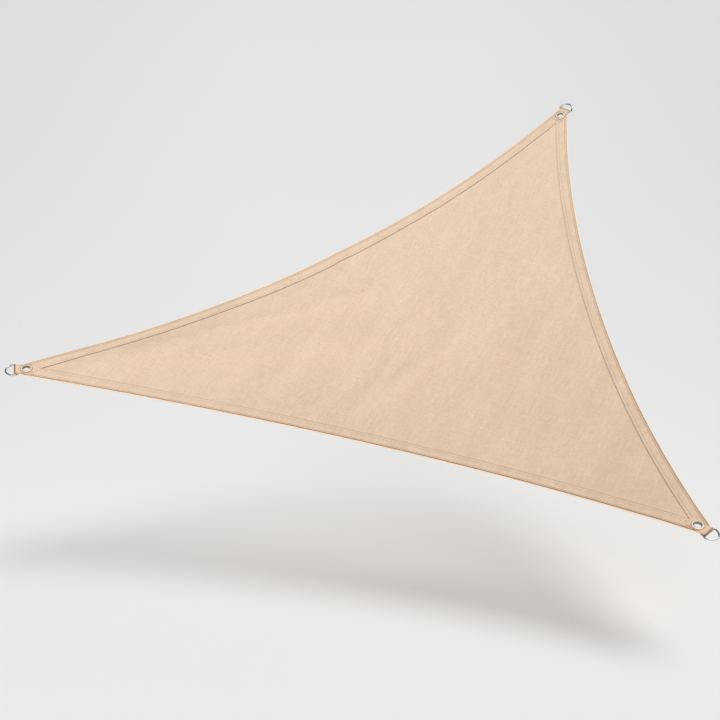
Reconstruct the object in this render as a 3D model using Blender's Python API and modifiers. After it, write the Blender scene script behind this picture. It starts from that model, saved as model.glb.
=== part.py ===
"""Triangular shade sail, held taut by the rings at its three corners.

The sail is one hemmed cloth with hollow-cut edges. At each corner a webbing strap
folds round the straight bar of a wire ring, sandwiches the end of the cloth, and is
clamped to it by a metal eyelet. Metres, +Z up, +Y towards the high corner's side.
The origin is the point where the high ring bears on whatever holds it.
"""

import math
from typing import NamedTuple

import bmesh
import bpy
import numpy as np
from mathutils import Matrix, Vector, geometry


class Corner(NamedTuple):
    """One corner of the sail, with sizes in metres."""

    name: str
    apex: tuple  # where the lines of its two edges meet, from the high apex
    to_fold: float  # from the apex in to the strap's fold
    turn: float  # of the strap about its eyelet, from the middle of the corner, degrees
    lift: tuple  # how far the pull draws the tip out of the smooth sheet


class Edge(NamedTuple):
    """One edge of the sail, from corner start to corner end, with sizes in metres."""

    start: int
    end: int
    cut_start: float  # hollow cut into the cloth, in the third near the start
    cut_end: float  # and in the third near the end
    sag_start: float  # sag below the plane of the apexes, in the same two thirds
    sag_end: float


class Fold(NamedTuple):
    """A soft ridge or trough between two places, each given as corner weights."""

    start: tuple
    end: tuple
    half_width: float
    height: float  # above the sheet; a trough's is negative


LEFT, RIGHT, HIGH = 0, 1, 2
CORNERS = (
    Corner("left", (-1.845, -1.135, -0.678), 0.045, 0.0, (0.009, -0.027, 0.009)),
    Corner("right", (0.133, -1.776, -0.909), 0.034, 0.0, (0.012, 0.034, -0.017)),
    Corner("high", (0.0, 0.0, 0.0), 0.033, -9.0, (-0.006, -0.059, 0.005)),
)
EDGES = (
    Edge(LEFT, RIGHT, cut_start=0.040, cut_end=0.075, sag_start=0.018, sag_end=0.036),
    Edge(RIGHT, HIGH, cut_start=0.044, cut_end=0.062, sag_start=0.077, sag_end=0.022),
    Edge(HIGH, LEFT, cut_start=0.052, cut_end=0.054, sag_start=0.063, sag_end=0.032),
)
FOLDS = (
    Fold((0.90, 0.03, 0.07), (0.42, 0.09, 0.49), half_width=0.045, height=-0.006),
    Fold((0.90, 0.05, 0.05), (0.36, 0.30, 0.34), half_width=0.060, height=0.006),
    Fold((0.47, 0.05, 0.48), (0.42, 0.17, 0.41), half_width=0.022, height=0.004),
    Fold((0.27, 0.06, 0.67), (0.26, 0.16, 0.58), half_width=0.018, height=-0.003),
    Fold((0.47, 0.43, 0.10), (0.26, 0.36, 0.38), half_width=0.030, height=0.004),
    Fold((0.08, 0.80, 0.12), (0.17, 0.62, 0.21), half_width=0.025, height=0.004),
    Fold((0.14, 0.78, 0.08), (0.27, 0.60, 0.13), half_width=0.025, height=-0.004),
)
MID_SAG = 0.050
LIFT_POWER = 12  # how close to its tip a corner's lift stays

PANEL_THICKNESS = 0.0012
HEM_THICKNESS = 0.0022
HEM_WIDTH = 0.040
HEM_LEDGE = 0.002  # over which the hem steps down to the panel
EDGE_STEP = 0.036  # mesh spacing along the hem
PANEL_STEP = 0.064  # mesh spacing over the panel
PATCH_FLAT, PATCH_END = 0.120, 0.220  # from the apex: a corner is flat, then no longer stiff

GAP = 0.0003
STRAP_WIDTH = 0.038
STRAP_THICKNESS = 0.0015
STRAP_TAIL = 0.024  # past the eyelet's centre, into the sail
STRAP_PARTS = 0.55  # share of the way out to the ring's bar where the two tails part
FOLD_TO_EYELET = 0.036
CLOTH_REACH = 0.0225  # past the eyelet's centre, out to the cloth's square end

WIRE_RADIUS = 0.0025
RING_HALF_WIDTH = 0.0225  # to the wire's centre
RING_DEPTH = 0.028  # from the bar's centre to the bow's
RING_BEND = 0.003  # radius of the two bends at the bar's ends

HOLE_RADIUS = 0.0105
FLANGE_RADIUS = 0.0175
FLANGE_THICKNESS = 0.0012
BARREL_WALL = 0.0009
TURNED_STEPS = 24
WELD_DISTANCE = 0.00001
CUTTER_DEPTH = 0.03

STACK = HEM_THICKNESS / 2 + GAP + STRAP_THICKNESS  # mid cloth to a tail's outer face
BARREL_RADIUS = HOLE_RADIUS + BARREL_WALL
STRAP_BEND = WIRE_RADIUS + GAP + STRAP_THICKNESS  # outer radius of the strap's fold
BAR_AT = FOLD_TO_EYELET - STRAP_BEND  # bar's centre from the eyelet's centre
BEARS_AT = BAR_AT + RING_DEPTH - WIRE_RADIUS  # inside of the bow from the same centre

TRACK_REACH, TRACK_SAMPLES = 0.3, 601  # of the line measured in from each apex
FADE_IN = (-0.20, 0.35)  # shares of a fold's length over which it rises
FADE_OUT = (0.65, 1.20)  # and over which it dies away

CUBIC_PEAK = 27 / 4  # makes s(1-s)^2 reach 1 at its peak, and 27 abc does the same


def unit(vector):
    """The vector, made 1 long."""
    return vector / np.linalg.norm(vector)


def smooth_step(x, low, high):
    """0 below low, 1 above high, and a smooth rise between."""
    t = np.clip((x - low) / (high - low), 0, 1)
    return t * t * (3 - 2 * t)


class Plane:
    """The plane through the three apexes: its origin is the high apex, x runs along
    the front edge's chord and y up the slope."""

    def __init__(self):
        apexes = [np.array(corner.apex) for corner in CORNERS]
        self.x = unit(apexes[RIGHT] - apexes[LEFT])
        self.normal = unit(np.cross(apexes[RIGHT] - apexes[LEFT], apexes[HIGH] - apexes[LEFT]))
        self.y = np.cross(self.normal, self.x)
        self.origin = apexes[HIGH]
        self.flat = np.array([[apex @ self.x, apex @ self.y] for apex in apexes])
        self.to_weights = np.linalg.inv(np.vstack([self.flat.T, np.ones(3)]))

    def weights(self, flat):
        """The corner weights of flat points, one row each."""
        return np.column_stack([flat, np.ones(len(flat))]) @ self.to_weights.T

    def inward(self, corner):
        """The flat direction that halves a corner's angle."""
        others = [self.flat[i] for i in range(len(CORNERS)) if i != corner]
        return unit(sum(unit(other - self.flat[corner]) for other in others))


PLANE = Plane()


def edge_line(edge, inset=0.0, samples=400):
    """Flat points along an edge's cut line, or along a line inset from it."""
    start, end = PLANE.flat[edge.start], PLANE.flat[edge.end]
    s = np.linspace(0, 1, samples)[:, None]
    inward = unit(np.array([start[1] - end[1], end[0] - start[0]]))
    hollow = CUBIC_PEAK * (s * (1 - s) ** 2 * edge.cut_start + s**2 * (1 - s) * edge.cut_end)
    line = start + (end - start) * s + hollow * inward
    along = np.gradient(line, axis=0)
    across = np.column_stack([-along[:, 1], along[:, 0]])
    return line + inset * across / np.linalg.norm(across, axis=1)[:, None]


def sheet_height(weights):
    """How far the sheet stands above the plane of the apexes."""
    height = -27 * weights.prod(axis=1) * MID_SAG
    for edge in EDGES:
        a, b = weights[:, edge.start], weights[:, edge.end]
        height -= CUBIC_PEAK * (a * a * b * edge.sag_start + a * b * b * edge.sag_end)
    return height


def fold_height(flat):
    """The height that the soft ridges and troughs add."""
    height = np.zeros(len(flat))
    for fold in FOLDS:
        start, end = np.array(fold.start) @ PLANE.flat, np.array(fold.end) @ PLANE.flat
        length = np.linalg.norm(end - start)
        along = (flat - start) @ (end - start) / length
        across = (flat - start) @ np.array([start[1] - end[1], end[0] - start[0]]) / length
        fade = smooth_step(along / length, *FADE_IN) * (1 - smooth_step(along / length, *FADE_OUT))
        height += fold.height * fade * np.exp(-((across / fold.half_width) ** 2))
    return height


def smooth_sheet(flat):
    """Places in space of flat points, before the corners are stiffened."""
    weights = PLANE.weights(flat)
    height = sheet_height(weights) + fold_height(flat)
    places = PLANE.origin + flat @ np.array([PLANE.x, PLANE.y]) + height[:, None] * PLANE.normal
    for corner, weight in zip(CORNERS, weights.T):
        places = places + np.clip(weight, 0, 1)[:, None] ** LIFT_POWER * np.array(corner.lift)
    return places


class Patch:
    """The flat, stiff end of one corner: its frame has its origin at the eyelet's
    centre in the middle of the cloth, x out to the ring and z up off the sail."""

    def __init__(self, index):
        self.corner = CORNERS[index]
        self.apex = PLANE.flat[index]
        self.inward = PLANE.inward(index)
        steps = np.linspace(0, TRACK_REACH, TRACK_SAMPLES)
        track = smooth_sheet(self.apex + steps[:, None] * self.inward)
        lengths = np.append(0, np.cumsum(np.linalg.norm(np.diff(track, axis=0), axis=1)))
        eyelet = np.interp(self.corner.to_fold + FOLD_TO_EYELET, lengths, steps)
        centre = self.apex + eyelet * self.inward
        sideways = np.array([-self.inward[1], self.inward[0]])
        nudge = 0.001
        around = smooth_sheet(np.array([centre, centre + nudge * self.inward, centre + nudge * sideways]))
        self.centre = around[0]
        self.z = unit(np.cross(around[1] - around[0], around[2] - around[0]))
        middle = unit(around[0] - around[1])
        turn = math.radians(self.corner.turn)
        self.x = math.cos(turn) * middle + math.sin(turn) * np.cross(self.z, middle)
        self.y = np.cross(self.z, self.x)

    def flatten(self, flat, places):
        """Places with those near the corner dropped on to the patch's plane."""
        away = np.linalg.norm(flat - self.apex, axis=1)
        share = 1 - smooth_step(away, PATCH_FLAT, PATCH_END)
        off = (places - self.centre) @ self.z
        return places - (share * off)[:, None] * self.z

    def point(self, x, y, z):
        """A place in space from the patch's own coordinates."""
        return self.centre + x * self.x + y * self.y + z * self.z

    def matrix(self):
        """The patch's frame, about the part's origin."""
        turn = Matrix(np.column_stack([self.x, self.y, self.z]).tolist()).to_4x4()
        return Matrix.Translation(Vector(self.centre - ORIGIN)) @ turn

    def reach(self, flat):
        """How far out past the eyelet's centre flat points of the cloth lie."""
        return (self.flatten(flat, smooth_sheet(flat)) - self.centre) @ self.x


PATCHES = [Patch(index) for index in range(len(CORNERS))]
ORIGIN = PATCHES[HIGH].point(BEARS_AT, 0, 0)


def sheet(flat):
    """Places in space of flat points on the middle of the cloth, about the origin."""
    places = smooth_sheet(flat)
    for patch in PATCHES:
        places = patch.flatten(flat, places)
    return places - ORIGIN


def spaced(line, step):
    """Points about a step apart along a line, with both its ends."""
    lengths = np.append(0, np.cumsum(np.linalg.norm(np.diff(line, axis=0), axis=1)))
    at = np.linspace(0, lengths[-1], max(2, round(lengths[-1] / step) + 1))
    return np.column_stack([np.interp(at, lengths, line[:, axis]) for axis in range(2)])


def clear_of_others(points, own, inset):
    """Which points are at least an inset from the sail's other edges."""
    keep = np.ones(len(points), bool)
    for edge in EDGES:
        if edge is not own:
            line = edge_line(edge)
            keep &= np.linalg.norm(points[:, None] - line, axis=2).min(axis=1) >= inset
    return keep


def cut_outline():
    """The cloth's cut edge in the flat, with its three square ends."""
    runs = []
    for edge in EDGES:
        line = edge_line(edge)
        for index in (edge.start, edge.end):
            line = line[PATCHES[index].reach(line) <= CLOTH_REACH]
        runs.append(spaced(line, EDGE_STEP))
    return np.vstack(runs)


def inset_outline(inset):
    """The line all round the sail that runs an inset inside its edges."""
    runs = []
    for edge in EDGES:
        line = edge_line(edge, inset)
        line = line[clear_of_others(line, edge, inset)]
        runs.append(spaced(line, EDGE_STEP)[:-1])
    return np.vstack(runs)


def panel_points():
    """A staggered grid of flat points over the panel, clear of its hem."""
    low, high = PLANE.flat.min(axis=0), PLANE.flat.max(axis=0)
    rows = np.arange(low[1], high[1], PANEL_STEP * math.sqrt(3) / 2)
    points = [
        (x + PANEL_STEP / 2 * (row % 2), y)
        for row, y in enumerate(rows)
        for x in np.arange(low[0], high[0], PANEL_STEP)
    ]
    points = np.array(points)
    inside = PLANE.weights(points).min(axis=1) > 0
    clear = HEM_WIDTH + HEM_LEDGE + 0.4 * PANEL_STEP
    for edge in EDGES:
        line = edge_line(edge)
        nearest = np.linalg.norm(points[:, None] - line, axis=2).argmin(axis=1)
        along = np.gradient(line, axis=0)[nearest]
        off = points - line[nearest]
        depth = (along[:, 0] * off[:, 1] - along[:, 1] * off[:, 0]) / np.linalg.norm(along, axis=1)
        inside &= depth > clear
    return points[inside]


def material(name, colour, roughness, metallic=0.0):
    """A plain Principled material."""
    made = bpy.data.materials.new(name)
    made.use_nodes = True
    shader = made.node_tree.nodes["Principled BSDF"]
    shader.inputs["Base Color"].default_value = (*colour, 1)
    shader.inputs["Roughness"].default_value = roughness
    shader.inputs["Metallic"].default_value = metallic
    return made


def placed(name, data, finish, collection):
    """A new object of the data, in the collection, with its material."""
    made = bpy.data.objects.new(name, data)
    data.materials.append(finish)
    collection.objects.link(made)
    return made


def as_mesh(curve_object):
    """The curve object turned into a mesh object with its caps welded on."""
    bpy.context.view_layer.update()
    graph = bpy.context.evaluated_depsgraph_get()
    mesh = bpy.data.meshes.new_from_object(curve_object.evaluated_get(graph))
    welded = bmesh.new()
    welded.from_mesh(mesh)
    bmesh.ops.remove_doubles(welded, verts=welded.verts, dist=WELD_DISTANCE)
    welded.to_mesh(mesh)
    welded.free()
    name = curve_object.name
    made = bpy.data.objects.new(name, mesh)
    made.matrix_world = curve_object.matrix_world
    curve_object.users_collection[0].objects.link(made)
    bpy.data.objects.remove(curve_object)
    made.name = name
    return made


def make_cloth(finish, collection):
    """The hemmed sail as one closed solid, thicker along its hem."""
    hem_rings = [cut_outline(), inset_outline(HEM_WIDTH)]
    rings = [*hem_rings, inset_outline(HEM_WIDTH + HEM_LEDGE)]
    flat = np.vstack([*rings, panel_points()])
    borders, first = [], 0
    for ring in rings:
        count = len(ring)
        borders += [(first + i, first + (i + 1) % count) for i in range(count)]
        first += count
    inside_borders = 1
    points, _, faces, *_ = geometry.delaunay_2d_cdt(
        [Vector(point) for point in flat], borders, [], inside_borders, 1e-6
    )
    points = np.array([tuple(point) for point in points])
    mesh = bpy.data.meshes.new("sail_cloth")
    mesh.from_pydata(sheet(points).tolist(), [], [list(face) for face in faces])
    made = placed("sail_cloth", mesh, finish, collection)
    hem = made.vertex_groups.new(name="hem")
    hem.add(list(range(sum(len(ring) for ring in hem_rings))), 1.0, "REPLACE")
    solid = made.modifiers.new("thickness", "SOLIDIFY")
    solid.thickness = HEM_THICKNESS
    solid.offset = 0
    solid.vertex_group = "hem"
    solid.thickness_vertex_group = PANEL_THICKNESS / HEM_THICKNESS
    return made


def strap_middle():
    """The strap's middle line in the patch's x and z: out along the upper tail, round
    the ring's bar, and back along the lower tail."""
    tail = HEM_THICKNESS / 2 + GAP + STRAP_THICKNESS / 2
    bend = WIRE_RADIUS + GAP + STRAP_THICKNESS / 2
    rise = np.linspace(STRAP_PARTS * BAR_AT, BAR_AT, 6)
    upper = [(-STRAP_TAIL, tail)]
    upper += [(x, tail + (bend - tail) * smooth_step(x, rise[0], rise[-1])) for x in rise]
    turn = np.linspace(math.pi / 2, -math.pi / 2, 13)[1:-1]
    around = [(BAR_AT + bend * math.cos(a), bend * math.sin(a)) for a in turn]
    lower = [(x, -z) for x, z in reversed(upper)]
    return np.array(upper + around + lower)


def make_strap(patch, finish, collection):
    """A folded webbing strap, cut across from the outline of its folded section."""
    middle = strap_middle()
    along = np.gradient(middle, axis=0)
    across = np.column_stack([-along[:, 1], along[:, 0]])
    across *= STRAP_THICKNESS / 2 / np.linalg.norm(across, axis=1)[:, None]
    outline = np.vstack([middle + across, (middle - across)[::-1]])
    curve = bpy.data.curves.new(f"strap_{patch.corner.name}", "CURVE")
    curve.dimensions = "2D"
    curve.fill_mode = "BOTH"
    curve.extrude = STRAP_WIDTH / 2
    spline = curve.splines.new("POLY")
    spline.points.add(len(outline) - 1)
    for point, (x, z) in zip(spline.points, outline):
        point.co = (x, z, 0, 1)
    spline.use_cyclic_u = True
    made = placed(curve.name, curve, finish, collection)
    made.matrix_world = patch.matrix() @ Matrix.Rotation(math.pi / 2, 4, "X")
    return as_mesh(made)


def ring_line():
    """The ring wire's centre line in its plane: a straight bar, two tight bends and
    a half-oval bow."""
    bends = np.linspace(-math.pi / 2, 0, 4)
    half = [
        (RING_BEND + RING_BEND * math.sin(a), RING_HALF_WIDTH - RING_BEND + RING_BEND * math.cos(a))
        for a in bends
    ]
    bow = RING_DEPTH - RING_BEND
    half += [
        (RING_BEND + bow * math.sin(a), RING_HALF_WIDTH * math.cos(a))
        for a in np.linspace(0, math.pi / 2, 12)[1:]
    ]
    return half + [(x, -y) for x, y in reversed(half[:-1])]


def make_ring(patch, finish, collection):
    """A wire ring whose bar lies in the strap's fold."""
    curve = bpy.data.curves.new(f"ring_{patch.corner.name}", "CURVE")
    curve.dimensions = "3D"
    curve.bevel_depth = WIRE_RADIUS
    curve.bevel_resolution = 2
    line = ring_line()
    spline = curve.splines.new("POLY")
    spline.points.add(len(line) - 1)
    for point, (x, y) in zip(spline.points, line):
        point.co = (BAR_AT + x, y, 0, 1)
    spline.use_cyclic_u = True
    made = placed(curve.name, curve, finish, collection)
    made.matrix_world = patch.matrix()
    return made


def flange_profile():
    """Half of the eyelet's section, as radius and height: out over the rolled top of
    the flange, back under it, and down the barrel."""
    top = STACK + GAP + FLANGE_THICKNESS
    under = STACK + GAP
    lip = FLANGE_THICKNESS / 2
    inner = [
        (HOLE_RADIUS + lip * (1 - math.cos(a)), top - lip + lip * math.sin(a))
        for a in np.linspace(0, math.pi / 2, 3)
    ]
    outer = [
        (FLANGE_RADIUS - lip + lip * math.cos(a), top - lip + lip * math.sin(a))
        for a in np.linspace(math.pi / 2, -math.pi / 2, 5)
    ]
    return [*inner, *outer, (BARREL_RADIUS, under)]


def make_eyelet(patch, finish, collection):
    """A turned metal eyelet through the strap and the cloth, flanged on both faces."""
    upper = flange_profile()
    profile = upper + [(radius, -height) for radius, height in reversed(upper)]
    mesh = bpy.data.meshes.new(f"eyelet_{patch.corner.name}")
    count = len(profile)
    mesh.from_pydata(
        [(radius, 0, height) for radius, height in profile],
        [(i, (i + 1) % count) for i in range(count)],
        [],
    )
    made = placed(mesh.name, mesh, finish, collection)
    screw = made.modifiers.new("turned", "SCREW")
    screw.steps = screw.render_steps = TURNED_STEPS
    screw.use_merge_vertices = True
    screw.merge_threshold = WELD_DISTANCE
    screw.use_smooth_shade = True
    made.matrix_world = patch.matrix()
    return made


def make_hole_cutter(patch, collection):
    """A plain cylinder, a gap wider than the eyelet's barrel."""
    bpy.ops.mesh.primitive_cylinder_add(
        vertices=TURNED_STEPS, radius=BARREL_RADIUS + GAP, depth=CUTTER_DEPTH
    )
    made = bpy.context.object
    made.name = f"hole_{patch.corner.name}"
    for other in made.users_collection:
        other.objects.unlink(made)
    collection.objects.link(made)
    made.matrix_world = patch.matrix()
    made.hide_render = True
    made.display_type = "WIRE"
    return made


def cut(made, cutter):
    """Takes the cutter's shape out of an object."""
    hole = made.modifiers.new(cutter.name, "BOOLEAN")
    hole.operation = "DIFFERENCE"
    hole.solver = "EXACT"
    hole.object = cutter


def main():
    """Builds the sail in an empty scene."""
    for old in list(bpy.data.objects):
        bpy.data.objects.remove(old)
    scene = bpy.context.scene
    scene.unit_settings.system = "METRIC"
    parts = bpy.data.collections.new("shade_sail")
    cutters = bpy.data.collections.new("cutters")
    scene.collection.children.link(parts)
    scene.collection.children.link(cutters)
    cloth_finish = material("sand_cloth", (0.77, 0.58, 0.43), 0.92)
    strap_finish = material("sand_webbing", (0.76, 0.57, 0.42), 0.85)
    wire_finish = material("ring_steel", (0.80, 0.80, 0.80), 0.22, 1.0)
    eyelet_finish = material("eyelet_steel", (0.82, 0.80, 0.76), 0.30, 1.0)
    cloth = make_cloth(cloth_finish, parts)
    for patch in PATCHES:
        hole = make_hole_cutter(patch, cutters)
        strap = make_strap(patch, strap_finish, parts)
        make_ring(patch, wire_finish, parts)
        make_eyelet(patch, eyelet_finish, parts)
        cut(cloth, hole)
        cut(strap, hole)


if __name__ == "__main__":
    main()
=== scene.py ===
"""Looks of a triangular shade sail, held taut by wire rings at its three corners.

The cloth, its webbing straps, wire rings, eyelets and stitching are built around the
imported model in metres, in its own frame: +Z up, +Y towards the high corner.
"""

import logging
import math
from dataclasses import dataclass, field
from enum import Enum

import bmesh
import bpy
import numpy as np
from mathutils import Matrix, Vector, geometry


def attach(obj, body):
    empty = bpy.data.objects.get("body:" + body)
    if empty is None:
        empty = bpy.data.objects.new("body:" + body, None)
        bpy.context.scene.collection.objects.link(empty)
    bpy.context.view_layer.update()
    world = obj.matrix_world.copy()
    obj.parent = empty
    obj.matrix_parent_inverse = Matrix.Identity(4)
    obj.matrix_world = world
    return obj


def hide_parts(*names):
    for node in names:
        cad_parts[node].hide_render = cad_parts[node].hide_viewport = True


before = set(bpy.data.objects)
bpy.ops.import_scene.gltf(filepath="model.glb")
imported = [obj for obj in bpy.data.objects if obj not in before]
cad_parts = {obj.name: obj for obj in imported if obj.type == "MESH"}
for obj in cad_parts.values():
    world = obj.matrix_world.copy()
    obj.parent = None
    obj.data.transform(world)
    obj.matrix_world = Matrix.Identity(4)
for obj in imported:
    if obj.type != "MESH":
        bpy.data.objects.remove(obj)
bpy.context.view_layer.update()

LOG = logging.getLogger("shade_sail")
BODY = "root"
MM = 0.001
CUBIC_PEAK = 27 / 4  # makes s(1-s)^2 reach 1 at its peak
TRIPLE_PEAK = 27  # makes abc reach 1 at its peak, where a + b + c is 1
Pair = tuple[float, float]
Triple = tuple[float, float, float]  # a place, a way, or weights of the three corners
Colour = tuple[float, float, float, float]  # linear red, green and blue, and alpha


class At(Enum):
    """A corner of the sail, by its place in the tables."""

    LEFT = 0
    RIGHT = 1
    HIGH = 2


class Face(Enum):
    """A face of the cloth, as the sign of its normal."""

    UPPER = 1
    LOWER = -1


@dataclass(frozen=True)
class Corner:
    """One corner: its apex, and how its strap and the pull on it lie, in metres."""

    name: str
    apex: Triple
    to_fold: float  # from the apex in to the strap's fold
    turn: float  # of the strap about its eyelet, degrees
    lift: Triple  # how far the pull draws the tip


@dataclass(frozen=True)
class Edge:
    """One hollow-cut edge. Pairs hold a value near its start and one near its end."""

    start: At
    end: At
    cut: Pair
    sag: Pair
    inner_line: Pair  # how dark the painted shadow line under its hem's inner ledge is, from 0 to 1
    outer_line: Pair  # and of the painted shade line just inside its rim and along its outer stitch row
    outer_thread: float  # radius of the stitches near its rim
    inner_thread: float  # and of those near the ledge


@dataclass(frozen=True)
class Fold:
    """A soft ridge or trough between two places, each given as corner weights."""

    start: Triple
    end: Triple
    half_width: float
    height: float


CORNERS = (
    Corner("left", (-1.845, -1.135, -0.678), 0.045, 0.0, (0.009, -0.027, 0.009)),
    Corner("right", (0.133, -1.776, -0.909), 0.034, 0.0, (0.012, 0.034, -0.017)),
    Corner("high", (0.0, 0.0, 0.0), 0.033, -9.0, (-0.006, -0.059, 0.005)),
)
EDGES = (
    Edge(At.LEFT, At.RIGHT, cut=(0.040, 0.075), sag=(0.018, 0.036), inner_line=(0.28, 0.36),
         outer_line=(0.75, 1.0), outer_thread=0.34 * MM, inner_thread=0.32 * MM),
    Edge(At.RIGHT, At.HIGH, cut=(0.044, 0.062), sag=(0.077, 0.022), inner_line=(0.62, 0.20),
         outer_line=(0.62, 0.25), outer_thread=0.50 * MM, inner_thread=0.38 * MM),
    Edge(At.HIGH, At.LEFT, cut=(0.052, 0.054), sag=(0.063, 0.032), inner_line=(0.80, 1.0),
         outer_line=(0.30, 0.45), outer_thread=0.42 * MM, inner_thread=0.28 * MM),
)
MAIN_FOLDS = (
    Fold((0.90, 0.03, 0.07), (0.42, 0.09, 0.49), half_width=0.045, height=-0.006),
    Fold((0.90, 0.05, 0.05), (0.36, 0.30, 0.34), half_width=0.060, height=0.006),
    Fold((0.47, 0.05, 0.48), (0.42, 0.17, 0.41), half_width=0.022, height=0.004),
    Fold((0.27, 0.06, 0.67), (0.26, 0.16, 0.58), half_width=0.018, height=-0.003),
    Fold((0.47, 0.43, 0.10), (0.26, 0.36, 0.38), half_width=0.030, height=0.004),
    Fold((0.08, 0.80, 0.12), (0.17, 0.62, 0.21), half_width=0.025, height=0.004),
    Fold((0.14, 0.78, 0.08), (0.27, 0.60, 0.13), half_width=0.025, height=-0.004),
)
FINE_FOLDS = (
    Fold((0.86, 0.07, 0.07), (0.36, 0.19, 0.45), half_width=0.036, height=0.0080),
    Fold((0.88, 0.03, 0.09), (0.44, 0.07, 0.49), half_width=0.034, height=-0.0070),
    Fold((0.467, 0.433, 0.10), (0.333, 0.283, 0.384), half_width=0.010, height=0.0020),
    Fold((0.52, 0.40, 0.08), (0.40, 0.33, 0.27), half_width=0.014, height=-0.0016),
    Fold((0.10, 0.78, 0.12), (0.24, 0.60, 0.16), half_width=0.010, height=0.0020),
    Fold((0.06, 0.85, 0.09), (0.18, 0.68, 0.14), half_width=0.010, height=-0.0018),
    Fold((0.17, 0.73, 0.10), (0.26, 0.62, 0.12), half_width=0.009, height=0.0016),
    Fold((0.08, 0.74, 0.18), (0.17, 0.56, 0.27), half_width=0.014, height=-0.0018),
    Fold((0.47, 0.04, 0.49), (0.40, 0.15, 0.45), half_width=0.009, height=0.0018),
    Fold((0.25, 0.03, 0.72), (0.22, 0.14, 0.64), half_width=0.009, height=0.0018),
    Fold((0.08, 0.05, 0.87), (0.20, 0.14, 0.66), half_width=0.020, height=0.0020),
)
FADE_IN, FADE_OUT = (-0.20, 0.35), (0.65, 1.20)  # shares of a fold's length
PUCKERS = ((210, 0.0, 0.5), (131, 1.3, 0.3), (57, 0.4, 0.5))  # each a pace, a phase and a share
TRACK, TRACK_STEPS = 0.3, 601  # how far in from an apex its eyelet is looked for, and how finely


def unit(vector: np.ndarray) -> np.ndarray:
    """The vector, made 1 long."""
    return vector / np.linalg.norm(vector)


def units(vectors: np.ndarray) -> np.ndarray:
    """Each row made 1 long."""
    return vectors / np.linalg.norm(vectors, axis=1)[:, None]


def smooth_step(x: np.ndarray, low: float, high: float) -> np.ndarray:
    """0 below low, 1 above high, and a smooth rise between."""
    t = np.clip((x - low) / (high - low), 0, 1)
    return t * t * (3 - 2 * t)


def spaced(line: np.ndarray, step: float) -> np.ndarray:
    """Points about a step apart along a line of points, with both its ends.

    Args:
        line: The line's points, one row each.
        step: How far apart, in metres.

    Returns:
        The points, evenly spaced.
    """
    lengths = np.append(0, np.cumsum(np.linalg.norm(np.diff(line, axis=0), axis=1)))
    at = np.linspace(0, lengths[-1], max(2, round(lengths[-1] / step) + 1))
    return np.column_stack([np.interp(at, lengths, values) for values in line.T])


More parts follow.
